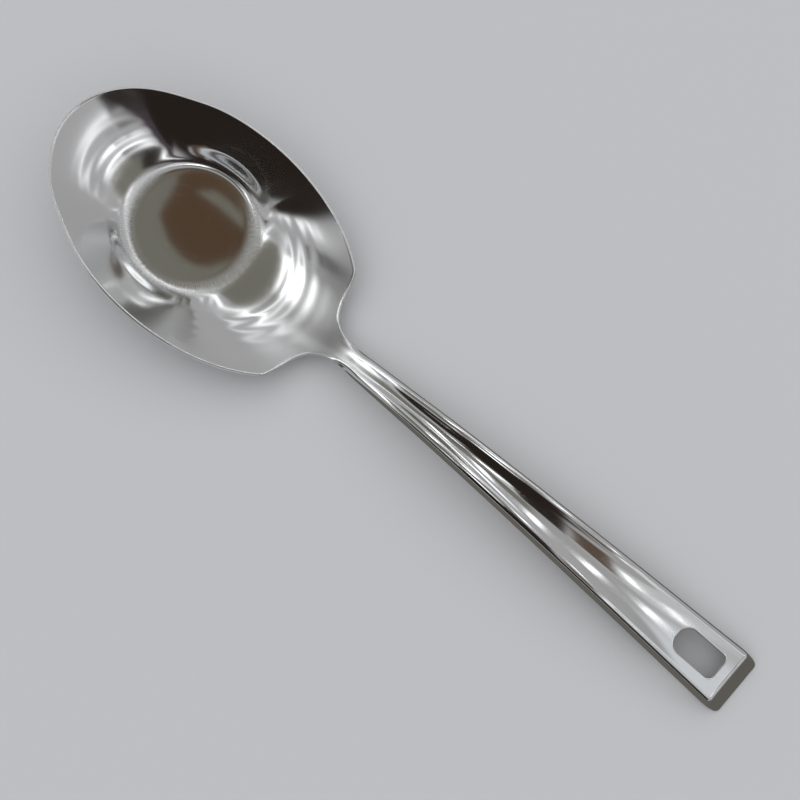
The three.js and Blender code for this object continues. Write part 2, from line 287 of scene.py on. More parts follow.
class SpoonSettings(bpy.types.PropertyGroup):
    sheet: PointerProperty(type=SheetSizes)
    bowl: PointerProperty(type=BowlSizes)
    neck: PointerProperty(type=NeckSizes)
    handle: PointerProperty(type=HandleSizes)
    hole: PointerProperty(type=HoleSizes)
    finish: PointerProperty(type=FinishSettings)
    stage: PointerProperty(type=StageSettings)


# Where the spoon lies: the frame's base face gives the tilt and the middle of the base


def base_mount():
    for mount in frame["record"]["mounts"]:
        if mount["name"] == "base_face":
            return mount
    raise RuntimeError("the record has no mount named base_face")


def rest_tilt():
    across, _, down = base_mount()["axis"]
    return math.atan2(-across, -down)


def base_middle(thickness):
    return Vector(base_mount()["pos_m"]) - thickness * Vector(base_mount()["axis"])


def rest_placement(spoon):
    """From the spoon with its base level to the spoon as it lies."""
    turn = Matrix.Rotation(rest_tilt(), 4, "Y")
    return Matrix.Translation(base_middle(spoon.sheet.thickness)) @ turn


# Small helpers


def mix(first, second, part):
    return first + (second - first) * part


def clamped(value):
    return larger(smaller(value, 1.0), 0.0)


def smooth_step(value, start, end):
    part = clamped((value - start) / (end - start))
    return part * part * (3.0 - 2.0 * part)


def bell(value, middle, spread):
    """1 at the middle, dying away over the spread on both sides."""
    off = (value - middle) / spread
    return exponential(off * off * -1.0)


def rising_root(function, low, high):
    """The values between low and high where a rising function crosses zero."""
    for _ in range(BISECTIONS):
        middle = (low + high) / 2
        below = function(middle) < 0
        low = np.where(below, middle, low)
        high = np.where(below, high, middle)
    return (low + high) / 2


def unit(vectors):
    return vectors / np.linalg.norm(vectors, axis=-1, keepdims=True)


def add_object(name, data):
    added = bpy.data.objects.new(name, data)
    bpy.context.scene.collection.objects.link(added)
    return added


# The bowl's rule, for numbers and for node trees alike


def eased_rise(distance, reach):
    """Level up to a bend, then rising one for one, with the bend eased over its reach on either side."""
    part = clamped((distance + reach) / (reach * 2))
    cube = part * part * part
    return reach * 2 * (cube - cube * part * 0.5) + larger(distance - reach, 0.0)


def rim_distance(cosine, sine, bowl):
    """From the base's middle to the rim: an oval with its centre shifted, drawn in beside the tip."""
    lengthwise = cosine / bowl.rim_half_length
    crosswise = sine / bowl.rim_half_width
    shift = bowl.rim_shift / bowl.rim_half_length
    stretch = lengthwise * lengthwise + crosswise * crosswise
    sideways = crosswise * shift
    oval = (lengthwise * shift + square_root(stretch - sideways * sideways)) / stretch
    off_handle = size_of(heading_of(sine, cosine))
    return oval - bowl.waist_depth * bell(off_handle, bowl.waist_angle, bowl.waist_spread)


def bowl_height(x, y, bowl):
    """Height along a ray: flat base, first bend, sloping band, second bend, curved and rippled wall."""
    distance = square_root(x * x + y * y)
    past_base = distance - bowl.base_bend_radius
    rim = rim_distance(x / distance, y / distance, bowl)
    span = larger(rim - bowl.base_bend_radius, bowl.base_bend_reach)
    part = past_base / span
    first = eased_rise(past_base, bowl.base_bend_reach) / span
    excess = 1.0 - bowl.even_wall / span
    wide = larger(excess, 0.0)
    steepening = bowl.wall_steepening * excess
    curving = bowl.wall_curving * wide * 0.5
    second = steepening * eased_rise(part - bowl.wall_bend_part, bowl.wall_bend_reach)
    beyond = larger(part - bowl.wall_bend_part, 0.0)
    third = curving * beyond * beyond
    wall_part = 1.0 - bowl.wall_bend_part
    whole = 1.0 + steepening * wall_part + curving * wall_part * wall_part
    rise = (first + second + third) / whole

    wave_number = 2 * math.pi / bowl.ripple_part
    wave = sine_of((part - bowl.wall_bend_part) * wave_number)
    start = smooth_step(part, bowl.wall_bend_part, bowl.wall_bend_part + bowl.ripple_part)
    end = 1.0 - smooth_step(part, bowl.ripple_end - 2.0 * bowl.ripple_part, bowl.ripple_end)
    ripple = bowl.ripple_slope * wide * span / wave_number * wave * start * end
    return bowl.depth * rise + ripple


def rim_point(heading, bowl):
    direction = np.stack([np.cos(heading), np.sin(heading)], axis=-1)
    distance = rim_distance(direction[..., 0], direction[..., 1], bowl)
    return direction * distance[..., None]


def bowl_normal(x, y, bowl):
    """Direction square to the bowl's upper face."""
    along = bowl_height(x + SLOPE_STEP, y, bowl) - bowl_height(x - SLOPE_STEP, y, bowl)
    across = bowl_height(x, y + SLOPE_STEP, bowl) - bowl_height(x, y - SLOPE_STEP, bowl)
    return unit(np.stack([-along, -across, np.full_like(along, 2 * SLOPE_STEP)], axis=-1))


# The neck's edge curve


def neck_point(part, spoon):
    """Point of the edge curve from the shoulder's corner to the narrowest place, seen from above."""
    neck = spoon.neck
    corner = rim_point(np.float64(neck.shoulder_angle), spoon.bowl)
    leads = np.array([
        corner,
        corner + (neck.shoulder_lead_x, -neck.shoulder_lead_y),
        (neck.narrowest_x - neck.neck_lead, neck.half_width),
        (neck.narrowest_x, neck.half_width),
    ])
    part = np.asarray(part)[..., None]
    rest = 1 - part
    weights = rest**3, 3 * rest**2 * part, 3 * rest * part**2, part**3
    return sum(weight * lead for weight, lead in zip(weights, leads))


def neck_part_at(x, spoon):
    """How far along the edge curve a place along the spoon is."""
    return rising_root(lambda part: neck_point(part, spoon)[..., 0] - x, np.zeros_like(x), np.ones_like(x))


def half_width_at(x, spoon):
    """Half of the handle's width over its outer edges, seen from above."""
    neck, handle = spoon.neck, spoon.handle
    swept = neck_point(neck_part_at(np.minimum(x, neck.narrowest_x), spoon), spoon)[..., 1]
    along = (x - neck.narrowest_x) / (handle.crest_x - neck.narrowest_x)
    return np.where(x < neck.narrowest_x, swept, mix(neck.half_width, handle.crest_half_width, along))


# Sheet: an upper face of cells, and the solid of the sheet's thickness under it


class UpperFace:
    """Points and cells of the upper face of a sheet, counter-clockwise seen from above."""

    def __init__(self):
        self.points = np.zeros((0, 3))
        self.cells = []

    def place(self, points):
        """Add points, and give back their numbers in the same layout."""
        points = np.asarray(points, float)
        start = len(self.points)
        self.points = np.concatenate([self.points, points.reshape(-1, 3)])
        return np.arange(start, len(self.points)).reshape(points.shape[:-1])

    def span(self, lines):
        """Cells between neighbouring lines of point numbers, three-cornered where two corners are one."""
        for before, after in zip(lines, lines[1:]):
            for i in range(len(before) - 1):
                corners = before[i], before[i + 1], after[i + 1], after[i]
                self.cells.append(list(dict.fromkeys(int(corner) for corner in corners)))

    def normals(self):
        mesh = bpy.data.meshes.new("upper_face")
        mesh.from_pydata(self.points.tolist(), [], self.cells)
        normals = np.zeros(len(self.points) * 3, np.float32)
        mesh.vertex_normals.foreach_get("vector", normals)
        bpy.data.meshes.remove(mesh)
        return normals.reshape(-1, 3).astype(float)


def edge_offsets(sheet):
    """Outward and downward steps across a rounded cut edge, between the two faces."""
    arc = np.linspace(0, QUARTER_TURN, ARC_STEPS + 1)
    out = sheet.edge_radius * np.sin(arc)
    down = sheet.edge_radius * (1 - np.cos(arc))
    upper = np.stack([out, down], axis=-1)[1:]
    lower = np.stack([out, sheet.thickness - down], axis=-1)[1:]
    return np.concatenate([upper, lower[::-1]])


def sheet_solid(face, normals, on_seam, sheet):
    """Closed solid under an upper face, with rounded cut edges and a plain cut at the seam."""
    count = len(face.points)
    points = [face.points, face.points - sheet.thickness * normals]
    cells = face.cells + [[i + count for i in reversed(cell)] for cell in face.cells]

    sides = {(a, b) for cell in face.cells for a, b in zip(cell, cell[1:] + cell[:1])}
    after = {a: b for a, b in sides if (b, a) not in sides}
    before = {b: a for a, b in after.items()}
    offsets = edge_offsets(sheet)

    def is_cut(a, b):
        return on_seam[a] and on_seam[b]

    def outward(i):
        if is_cut(before[i], i):
            return unit(face.points[i] - face.points[before[i]])
        if is_cut(i, after[i]):
            return unit(face.points[i] - face.points[after[i]])
        run = unit(face.points[i] - face.points[before[i]]) + unit(face.points[after[i]] - face.points[i])
        return unit(np.cross(run, normals[i]))

    chains = {}
    made = 2 * count
    for i in after:
        chain = [i, i + count]
        if not (is_cut(before[i], i) and is_cut(i, after[i])):
            points.append(face.points[i] + offsets[:, :1] * outward(i) - offsets[:, 1:] * normals[i])
            chain[1:1] = range(made, made + len(offsets))
            made += len(offsets)
        chains[i] = chain

    for a, b in after.items():
        if is_cut(a, b):
            cells.append([a, a + count, b + count, b])
            if not is_cut(before[a], a):
                cells.append(chains[a])
            if not is_cut(b, after[b]):
                cells.append(chains[b][::-1])
            continue
        for k in range(len(offsets) + 1):
            cells.append([chains[a][k], chains[a][k + 1], chains[b][k + 1], chains[b][k]])

    points = np.concatenate(points)
    cut_edge = np.zeros(len(points))
    cut_edge[2 * count:] = 1
    seam = np.flatnonzero(on_seam)
    return SimpleNamespace(points=points, cells=cells, cut_edge=cut_edge, seam=seam, count=count)


def solid_object(name, solid):
    mesh = bpy.data.meshes.new(name)
    mesh.from_pydata(solid.points.tolist(), [], solid.cells)
    cut_edge = mesh.attributes.new("cut_edge", "FLOAT", "POINT")
    cut_edge.data.foreach_set("value", solid.cut_edge.astype(np.float32))
    mesh.update()
    return add_object(name, mesh)


def finish_shading(piece, solid, seam_normals):
    """Smooth faces, whose shading runs on across the seam as if the spoon were one sheet."""
    mesh = piece.data
    mesh.shade_smooth()
    mesh.set_sharp_from_angle(angle=SEAM_SHARPNESS)
    wanted = {}
    for i, normal in zip(solid.seam.tolist(), seam_normals):
        wanted[i] = normal
        wanted[i + solid.count] = -normal
    normals = np.zeros((len(mesh.loops), 3))
    for polygon in mesh.polygons:
        corners = [i for i in polygon.vertices if i in wanted]
        if not corners or (min(corners) < solid.count <= max(corners)):
            continue
        for loop, i in zip(polygon.loop_indices, polygon.vertices):
            if i in wanted:
                normals[loop] = wanted[i]
    mesh.normals_split_custom_set(normals.tolist())


def seam_normals_at(y, spoon):
    x = np.full_like(y, spoon.neck.seam_x)
    turned = np.array(rest_placement(spoon).to_3x3())
    return bowl_normal(x, y, spoon.bowl) @ turned.T


# Bowl


def bowl_edge(spoon):
    """The bowl's free edge from above, from the seam's +Y end round the tip to its -Y end."""
    neck, bowl, radius = spoon.neck, spoon.bowl, spoon.sheet.edge_radius
    corner = rim_point(np.float64(neck.shoulder_angle), bowl)

    def far_enough(points):
        return np.linalg.norm(points - corner, axis=-1) - neck.corner_easing

    seam_part = neck_part_at(np.float64(neck.seam_x), spoon)
    sweep_end = rising_root(lambda part: far_enough(neck_point(part, spoon)), np.float64(0), seam_part)
    rim_start = rising_root(
        lambda heading: far_enough(rim_point(heading, bowl)),
        np.float64(neck.shoulder_angle),
        np.float64(QUARTER_TURN),
    )
    sweep = neck_point(np.linspace(seam_part, sweep_end, SWEEP_STEPS), spoon)
    rim = rim_point(np.linspace(rim_start, 2 * math.pi - rim_start, RIM_STEPS), bowl)
    part = np.linspace(0, 1, CORNER_STEPS + 1)[1:-1, None]
    easing = mix(mix(sweep[-1], corner, part), mix(corner, rim[0], part), part)
    side = np.concatenate([sweep, easing])
    edge = np.concatenate([side, rim, side[::-1] * (1, -1)])

    run = unit(np.gradient(edge, axis=0))
    inset = edge - radius * np.stack([run[:, 1], -run[:, 0]], axis=-1)
    inset[0] = edge[0] - (0, radius)
    inset[-1] = edge[-1] + (0, radius)
    return inset


def cut_bowl_blank(spoon):
    """The flat blank: rays from the middle of the base out to the edge, with rings where the wall bends."""
    bowl = spoon.bowl
    edge = bowl_edge(spoon)
    seam_y = np.linspace(edge[-1, 1], edge[0, 1], SEAM_STEPS + 1)[1:-1]
    seam = np.stack([np.full_like(seam_y, spoon.neck.seam_x), seam_y], axis=-1)
    ends = np.concatenate([seam, edge])

    flat = bowl.base_bend_radius - bowl.base_bend_reach
    bent = bowl.base_bend_radius + bowl.base_bend_reach
    inner = np.concatenate([
        np.linspace(0, flat, FLAT_RINGS + 1)[1:-1],
        np.linspace(flat, bent, BASE_BEND_RINGS + 1)[:-1],
    ])
    reach = np.linalg.norm(ends, axis=-1, keepdims=True)
    outer = mix(bent, reach, np.linspace(0, 1, WALL_RINGS + 1))
    distances = np.concatenate([np.tile(inner, (len(ends), 1)), outer], axis=1)
    spots = (ends / reach)[:, None, :] * distances[:, :, None]

    face = UpperFace()
    middle = face.place(np.zeros((1, 3)))
    rays = face.place(np.concatenate([spots, np.zeros(spots.shape[:2] + (1,))], axis=-1))
    lines = [np.concatenate([middle, ray]) for ray in rays]
    face.span(lines + lines[:1])
    normals = np.tile((0.0, 0.0, 1.0), (len(face.points), 1))
    on_seam = np.zeros(len(face.points), bool)
    on_seam[rays[: len(seam), -1]] = True
    on_seam[[rays[len(seam), -1], rays[-1, -1]]] = True
    return sheet_solid(face, normals, on_seam, spoon.sheet)


def size_labels(sizes):
    """The names of the sizes in a property group, as a user reads them."""
    return {name: sizes.bl_rna.properties[name].name for name in sizes.__annotations__}


def add_inputs(tree, kind, *labels):
    for label in labels:
        tree.interface.new_socket(label, in_out="INPUT", socket_type=kind)


def height_tree(bowl):
    """Node group that gives the height of the bowl's upper face over a place on the blank."""
    labels = size_labels(bowl)
    tree = bpy.data.node_groups.new("Bowl height", "GeometryNodeTree")
    add_inputs(tree, "NodeSocketFloat", "X", "Y", *labels.values())
    tree.interface.new_socket("Height", in_out="OUTPUT", socket_type="NodeSocketFloat")
    entry = add_node(tree, "NodeGroupInput")
    sizes = SimpleNamespace(**{name: Term(tree, entry[label]) for name, label in labels.items()})
    height = bowl_height(Term(tree, entry["X"]), Term(tree, entry["Y"]), sizes)
    add_node(tree, "NodeGroupOutput", Height=height)
    return tree


def press_tree(bowl):
    """Tree that presses a flat blank: each point keeps its depth under the upper face, square to it."""
    heights = height_tree(bowl)
    tree = bpy.data.node_groups.new("Press bowl", "GeometryNodeTree")
    labels = size_labels(bowl).values()
    add_inputs(tree, "NodeSocketGeometry", "Blank")
    add_inputs(tree, "NodeSocketFloat", *labels, "Tilt")
    add_inputs(tree, "NodeSocketVector", "Base middle")
    add_inputs(tree, "NodeSocketMaterial", "Steel")
    tree.interface.new_socket("Bowl", in_out="OUTPUT", socket_type="NodeSocketGeometry")
    entry = add_node(tree, "NodeGroupInput")
    sizes = {label: entry[label] for label in labels}
    position = add_node(tree, "GeometryNodeInputPosition")
    split = add_node(tree, "ShaderNodeSeparateXYZ", Vector=position["Position"])
    x, y, depth = (Term(tree, output) for output in split)

    def height(x, y):
        group = add_node(tree, "GeometryNodeGroup", {"node_tree": heights}, X=x, Y=y, **sizes)
        return Term(tree, group["Height"])

    along = (height(x - SLOPE_STEP, y) - height(x + SLOPE_STEP, y)) / (2 * SLOPE_STEP)
    across = (height(x, y - SLOPE_STEP) - height(x, y + SLOPE_STEP)) / (2 * SLOPE_STEP)
    steepness = square_root(along * along + across * across + 1.0)
    below = depth / steepness
    formed = add_node(
        tree, "ShaderNodeCombineXYZ", X=x + below * along, Y=y + below * across, Z=height(x, y) + below
    )
    pressed = add_node(tree, "GeometryNodeSetPosition", Geometry=entry["Blank"], Position=formed["Vector"])
    turn = add_node(tree, "ShaderNodeCombineXYZ", Y=entry["Tilt"])
    laid = add_node(
        tree,
        "GeometryNodeTransform",
        Geometry=pressed["Geometry"],
        Translation=entry["Base middle"],
        Rotation=turn["Vector"],
    )
    realized = add_node(tree, "GeometryNodeRealizeInstances", Geometry=laid["Geometry"])
    steel = entry["Steel"]
    coated = add_node(tree, "GeometryNodeSetMaterial", Geometry=realized["Geometry"], Material=steel)
    add_node(tree, "NodeGroupOutput", Bowl=coated["Geometry"])
    return tree


def press(piece, spoon, steel):
    """Press a blank with the node tree and keep the result as a plain mesh."""
    tree = press_tree(spoon.bowl)
    values = {label: getattr(spoon.bowl, name) for name, label in size_labels(spoon.bowl).items()}
    values["Tilt"] = rest_tilt()
    values["Base middle"] = base_middle(spoon.sheet.thickness)
    values["Steel"] = steel
    modifier = piece.modifiers.new("Press", "NODES")
    modifier.node_group = tree
    for item in tree.interface.items_tree:
        if item.in_out == "INPUT" and item.name in values:
            modifier[item.identifier] = values[item.name]
    flat = piece.data
    pressed = bpy.data.meshes.new_from_object(piece.evaluated_get(bpy.context.evaluated_depsgraph_get()))
    piece.modifiers.remove(modifier)
    pressed.name = piece.name
    piece.data = pressed
    bpy.data.meshes.remove(flat)
    return piece


# Handle


def spine_height(x, spoon):
    """Height of the trough's bottom: one smooth arch from the bowl's back wall to the crest."""
    bowl, handle, seam_x = spoon.bowl, spoon.handle, spoon.neck.seam_x
    run = handle.crest_x - seam_x
    start = bowl_height(seam_x, 0.0, bowl)
    start_slope = (start - bowl_height(seam_x - SLOPE_STEP, 0.0, bowl)) / SLOPE_STEP
    part = (x - seam_x) / run
    from_seam = start * (1 + 2 * part) + start_slope * run * part
    from_crest = handle.crest_height * (3 - 2 * part) - math.tan(handle.crest_slope) * run * (1 - part)
    return from_seam * (1 - part) ** 2 + from_crest * part**2


def trough_depth_at(x, spoon):
    """As shallow as the bowl's back at the seam, full along the grip, shallow at the end."""
    bowl, handle, neck = spoon.bowl, spoon.handle, spoon.neck
    seam_width = half_width_at(np.float64(neck.seam_x), spoon)
    seam_depth = bowl_height(neck.seam_x, seam_width, bowl) - bowl_height(neck.seam_x, 0.0, bowl)
    carried = seam_depth * (half_width_at(x, spoon) / seam_width) ** 2
    ending = smooth_step(x, handle.crest_x - handle.end_trough_length, handle.crest_x)
    grip = mix(handle.trough_depth, handle.end_trough_depth, ending)
    return mix(carried, grip, smooth_step(x, neck.narrowest_x, neck.narrowest_x + handle.trough_start))


def edge_profile(rise, turn, wall, spoon):
    """Points across turned edges, outwards and upwards from the trough's border: a bend, then a wall."""
    handle = spoon.handle
    bend = handle.edge_lead_in + (handle.edge_inner_radius + spoon.sheet.thickness) * turn
    steps = (np.arange(EDGE_BEND_STEPS) + 0.5) / EDGE_BEND_STEPS
    direction = rise[..., None] - turn[..., None] * steps
    stride = bend[..., None] / EDGE_BEND_STEPS
    curve = np.cumsum(np.stack([stride * np.cos(direction), stride * np.sin(direction)], axis=-1), axis=-2)
    ahead = np.stack([np.cos(rise - turn), np.sin(rise - turn)], axis=-1)
    along = wall[..., None] * np.arange(1, EDGE_WALL_STEPS + 1) / EDGE_WALL_STEPS
    straight = curve[..., -1:, :] + along[..., None] * ahead[..., None, :]
    return np.concatenate([np.zeros_like(curve[..., :1, :]), curve, straight], axis=-2)


def handle_sections(x, spoon):
    """Trough and turned edge of the sections along the handle."""
    neck, handle = spoon.neck, spoon.handle
    depth = trough_depth_at(x, spoon)
    half_width = half_width_at(x, spoon)
    turned = smooth_step(x, neck.seam_x, neck.seam_x + handle.edge_turn_run)
    grip = mix(handle.wall, handle.end_wall, smooth_step(x, neck.narrowest_x, handle.crest_x))
    wall = mix(handle.seam_wall, grip, smooth_step(x, neck.seam_x, neck.seam_x + handle.wall_growth_run))

    def edge_beside(half, length):
        rise = np.arctan2(2 * depth, half)
        return edge_profile(rise, turned * (rise + QUARTER_TURN - handle.wall_lean), length, spoon)

    half = rising_root(
        lambda half: half + edge_beside(half, wall)[..., -1, 0] - half_width, np.zeros_like(x), half_width
    )
    full = edge_beside(half, wall)
    edge = edge_beside(half, wall - spoon.sheet.edge_radius)
    reach, drop = full[:, -1, 0], -full[:, -1, 1]
    return SimpleNamespace(x=x, depth=depth, half=half, edge=edge, reach=reach, drop=drop)


def handle_height(x, y, arch, spoon):
    """Height of the handle, which passes from the bowl's form into its own."""
    neck = spoon.neck
    eased = smooth_step(x, neck.seam_x, neck.seam_x + spoon.handle.seam_easing)
    return mix(bowl_height(x, y, spoon.bowl), arch, eased)


def trough_points(x, y, rows, spoon):
    part = y / np.interp(x, rows.x, rows.half)
    arch = spine_height(x, spoon) + trough_depth_at(x, spoon) * part**2
    return np.stack([x, y, handle_height(x, y, arch, spoon)], axis=-1)


def side_edge(rows, side, spoon):
    """The turned edge along one side: a line of points for each row, outwards from the trough's border."""
    x = np.repeat(rows.x[:, None], rows.edge.shape[1], axis=1)
    y = side * (rows.half[:, None] + rows.edge[..., 0])
    arch = (spine_height(rows.x, spoon) + rows.depth)[:, None] + rows.edge[..., 1]
    return np.stack([x, y, handle_height(x, y, arch, spoon)], axis=-1)


def lip_lines(borders, headings, rows, spoon):
    """The bent-down end: a line of points for each heading, outwards from its place on the crest."""
    handle = spoon.handle
    outward = np.cos(headings)
    sideways = np.abs(np.sin(headings))
    squareness = handle.lip_squareness
    corner = (outward / handle.lip_run) ** squareness + (sideways / rows.reach[-1]) ** squareness
    reach = corner ** (-1 / squareness)
    side_slope = 2 * rows.depth[-1] / rows.half[-1]
    rise = np.arctan(math.tan(handle.crest_slope) * outward + side_slope * sideways)
    drop = borders[:, 2] - borders[0, 2] + rows.drop[-1]

    def leaning(lean, trim):
        turn = rise + QUARTER_TURN - lean
        bent = edge_profile(rise, turn, np.zeros_like(rise), spoon)[:, -1]
        wall = (drop + bent[:, 1]) / np.cos(lean)
        return edge_profile(rise, turn, wall - trim, spoon)

    steepest = np.full_like(headings, STEEPEST_LEAN)
    lean = rising_root(lambda lean: leaning(lean, 0.0)[:, -1, 0] - reach, np.zeros_like(headings), steepest)
    profile = leaning(lean, spoon.sheet.edge_radius)
    direction = np.stack([outward, np.sin(headings), np.zeros_like(headings)], axis=-1)
    out = profile[..., :1] * direction[:, None, :]
    up = profile[..., 1:] * (0.0, 0.0, 1.0)
    return borders[:, None, :] + out + up


def hole_middle(spoon):
    return spoon.handle.crest_x - spoon.hole.to_crest - spoon.hole.length / 2


def beyond_hole(x, y, spoon):
    """How far places lie outside the outline of the hang hole."""
    hole = spoon.hole
    along = x - hole_middle(spoon)
    radius = np.where(along > 0, hole.end_radius, hole.front_radius)
    past_x = np.abs(along) - (hole.length / 2 - radius)
    past_y = np.abs(y) - (hole.width / 2 - radius)
    outside = np.hypot(np.maximum(past_x, 0), np.maximum(past_y, 0))
    return outside + np.minimum(np.maximum(past_x, past_y), 0) - radius


def hole_lines(border, spoon):
    """Lines from the hang hole's edge out to the border round it, seen from above."""
    middle = hole_middle(spoon)
    straight = (spoon.hole.length - spoon.hole.width) / 2
    along = np.clip(border[:, 0], middle - straight, middle + straight)
    heart = np.stack([along, np.zeros_like(along)], axis=-1)

    def past_edge(part):
        spots = mix(heart, border, part[:, None])
        return beyond_hole(spots[:, 0], spots[:, 1], spoon) - spoon.sheet.edge_radius

    part = rising_root(past_edge, np.zeros(len(border)), np.ones(len(border)))
    start = mix(heart, border, part[:, None])
    steps = np.linspace(0, 1, HOLE_RINGS + 1)[None, :-1, None]
    return mix(start[:, None, :], border[:, None, :], steps)


def handle_face(spoon):
    """The handle's upper face: trough, rings round the hang hole, and the edge turned down all round."""
    handle, hole, seam_x = spoon.handle, spoon.hole, spoon.neck.seam_x
    hole_start = handle.crest_x - hole.to_crest - hole.length - hole.margin
    part = np.linspace(0, 1, HANDLE_STEPS + 1)
    grip_x = mix(seam_x, hole_start, mix(part, part**2, NECK_CROWDING))
    end_x = np.linspace(hole_start, handle.crest_x, END_STEPS + 1)[1:]
    rows = handle_sections(np.concatenate([grip_x, end_x]), spoon)
    columns = np.linspace(-1, 1, TROUGH_STEPS + 1)

    def trough_line(i):
        return trough_points(np.full_like(columns, rows.x[i]), columns * rows.half[i], rows, spoon)

    face = UpperFace()
    last = len(rows.x) - 1
    grip = [face.place(trough_line(i)) for i in range(HANDLE_STEPS + 1)]
    crest_line = trough_line(last)
    crest = face.place(crest_line)
    face.span([line[::-1] for line in grip])

    left = [line[0] for line in grip]
    right = [line[-1] for line in grip]
    for i in range(HANDLE_STEPS + 1, last):
        ends = face.place(trough_line(i)[[0, -1]])
        left.append(ends[0])
        right.append(ends[1])
    left.append(crest[0])
    right.append(crest[-1])

    border = np.concatenate([
        left[HANDLE_STEPS:-1],
        crest[:-1],
        right[:HANDLE_STEPS:-1],
        grip[-1][:0:-1],
    ])
    spots = hole_lines(face.points[border, :2], spoon)
    rings = face.place(trough_points(spots[..., 0], spots[..., 1], rows, spoon))
    lines = [np.append(ring, end) for ring, end in zip(rings, border)]
    face.span(lines + lines[:1])

    turn = np.linspace(0, QUARTER_TURN, LIP_CORNER_STEPS + 1)[1:-1]
    corner = np.arctan2(rows.reach[-1] * np.sin(turn), handle.lip_run * np.cos(turn))
    headings = np.concatenate([-corner[::-1], np.zeros(len(crest)), corner])
    lip_border = np.concatenate([np.full(len(corner), crest[0]), crest, np.full(len(corner), crest[-1])])
    lip = lip_lines(face.points[lip_border], headings, rows, spoon)
    edge_border = np.concatenate([left, lip_border, right[::-1]])
    edge = np.concatenate([side_edge(rows, -1, spoon), lip, side_edge(rows, 1, spoon)[::-1]])
    outer = face.place(edge[:, 1:])
    face.span([np.append(start, line) for start, line in zip(edge_border, outer)])

    on_seam = np.zeros(len(face.points), bool)
    on_seam[grip[0]] = True
    on_seam[outer[0]] = True
    on_seam[outer[-1]] = True
    return face, on_seam


# Finishes, with lengths in metres and the rest in parts of one

# Brush marks: where they fade past the base's bend, and the side of the bowl where they are worn
RING_FADE_IN = (-0.0046, -0.0006)
RING_FADE_OUT = (0.0002, 0.003)
WALL_RING_SPREAD = 0.05
WALL_RING_STRENGTH = 0.4
STRAND_CONTRAST = (0.35, 0.65)
BETWEEN_STRANDS = 0.65
BRUSH_STRETCH = 0.5
WORN_SIDE = (-0.41, 0.91)
WORN_FADE = (0.45, 0.85)
WORN_SHARE = 0.8
# Satin neck: where it begins and ends along the spoon
BOWL_SATIN = (0.030, 0.046)
HANDLE_SATIN = (0.056, 0.085)
# Smudges, polishing lines and waves: length and width of a grain; the waves have their own layer of noise
BOWL_SMUDGE = (0.009, 0.009)
HANDLE_SMUDGE = (0.012, 0.006)
POLISHING_LINE = (0.02, 0.00025)
WAVE = (0.014, 0.007)
WAVE_LAYER = 4.0
SMUDGE_DETAIL = 3.0
SMUDGE_ROUGHNESS = 0.03
SMUDGE_SHADE = 0.86
# Scratches: heading in radians, length and width
BOWL_SCRATCHES = ((0.5, 0.011, 0.00016), (-1.1, 0.008, 0.00013))
HANDLE_SCRATCHES = (0.25, 0.009, 0.00014)
SCRATCH_EDGE = 0.03
# Wear: roughness in a scratch, dulling by smudges, and how high each mark stands
BOWL_WEAR = SimpleNamespace(rough=0.05, dull=0.4, satin=0.2, plain=0.03, scratch=0.06)
HANDLE_WEAR = SimpleNamespace(rough=0.08, dull=0.5, satin=0.1, plain=0.015, scratch=0.04, wave=5.0)


def new_material(name, shade):
    """A material of one colour, with its node tree and the inputs of its shader."""
    material = bpy.data.materials.new(name)
    material.use_nodes = True
    surface = material.node_tree.nodes["Principled BSDF"].inputs
    surface["Base Color"].default_value = (*shade, 1.0)
    return material, material.node_tree, surface


def level_place(tree, spoon):
    """Place on the spoon with its base level: along the handle, across it, and the height."""
    level = add_node(
        tree,
        "ShaderNodeMapping",
        {"vector_type": "TEXTURE"},
        Vector=add_node(tree, "ShaderNodeTexCoord")["Object"],
        Location=base_middle(spoon.sheet.thickness),
        Rotation=(0.0, rest_tilt(), 0.0),
    )
    split = add_node(tree, "ShaderNodeSeparateXYZ", Vector=level["Vector"])
    return [Term(tree, output) for output in split]


def noise(tree, x, y, z, detail=2.0):
    """Noise between 0 and 1 whose grain is one unit of the numbers that it is given."""
    place = add_node(tree, "ShaderNodeCombineXYZ", X=x, Y=y, Z=z)
    grain = add_node(tree, "ShaderNodeTexNoise", Vector=place["Vector"], Scale=1.0, Detail=detail)
    return Term(tree, grain["Fac"])


def scratches(tree, x, y, heading, length, width, rarity):
    """Sparse straight scratches along a heading: 1 in a scratch and 0 elsewhere."""
    along = x * math.cos(heading) + y * math.sin(heading)
    across = y * math.cos(heading) - x * math.sin(heading)
    grain = noise(tree, along / length, across / width, heading, 0.0)
    return smooth_step(grain, rarity, rarity + SCRATCH_EDGE)


def grain_round_base(tree, surface, cosine, sine, strength):
    """Spread the highlights round the base, as radial brush marks do."""
    round_base = add_node(tree, "ShaderNodeCombineXYZ", X=sine * -1.0, Y=cosine)
    turn = (0.0, rest_tilt(), 0.0)
    lay = add_node(
        tree, "ShaderNodeMapping", {"vector_type": "VECTOR"}, Vector=round_base["Vector"], Rotation=turn
    )
    feed(tree, surface["Tangent"], lay["Vector"])
    feed(tree, surface["Anisotropic"], strength)


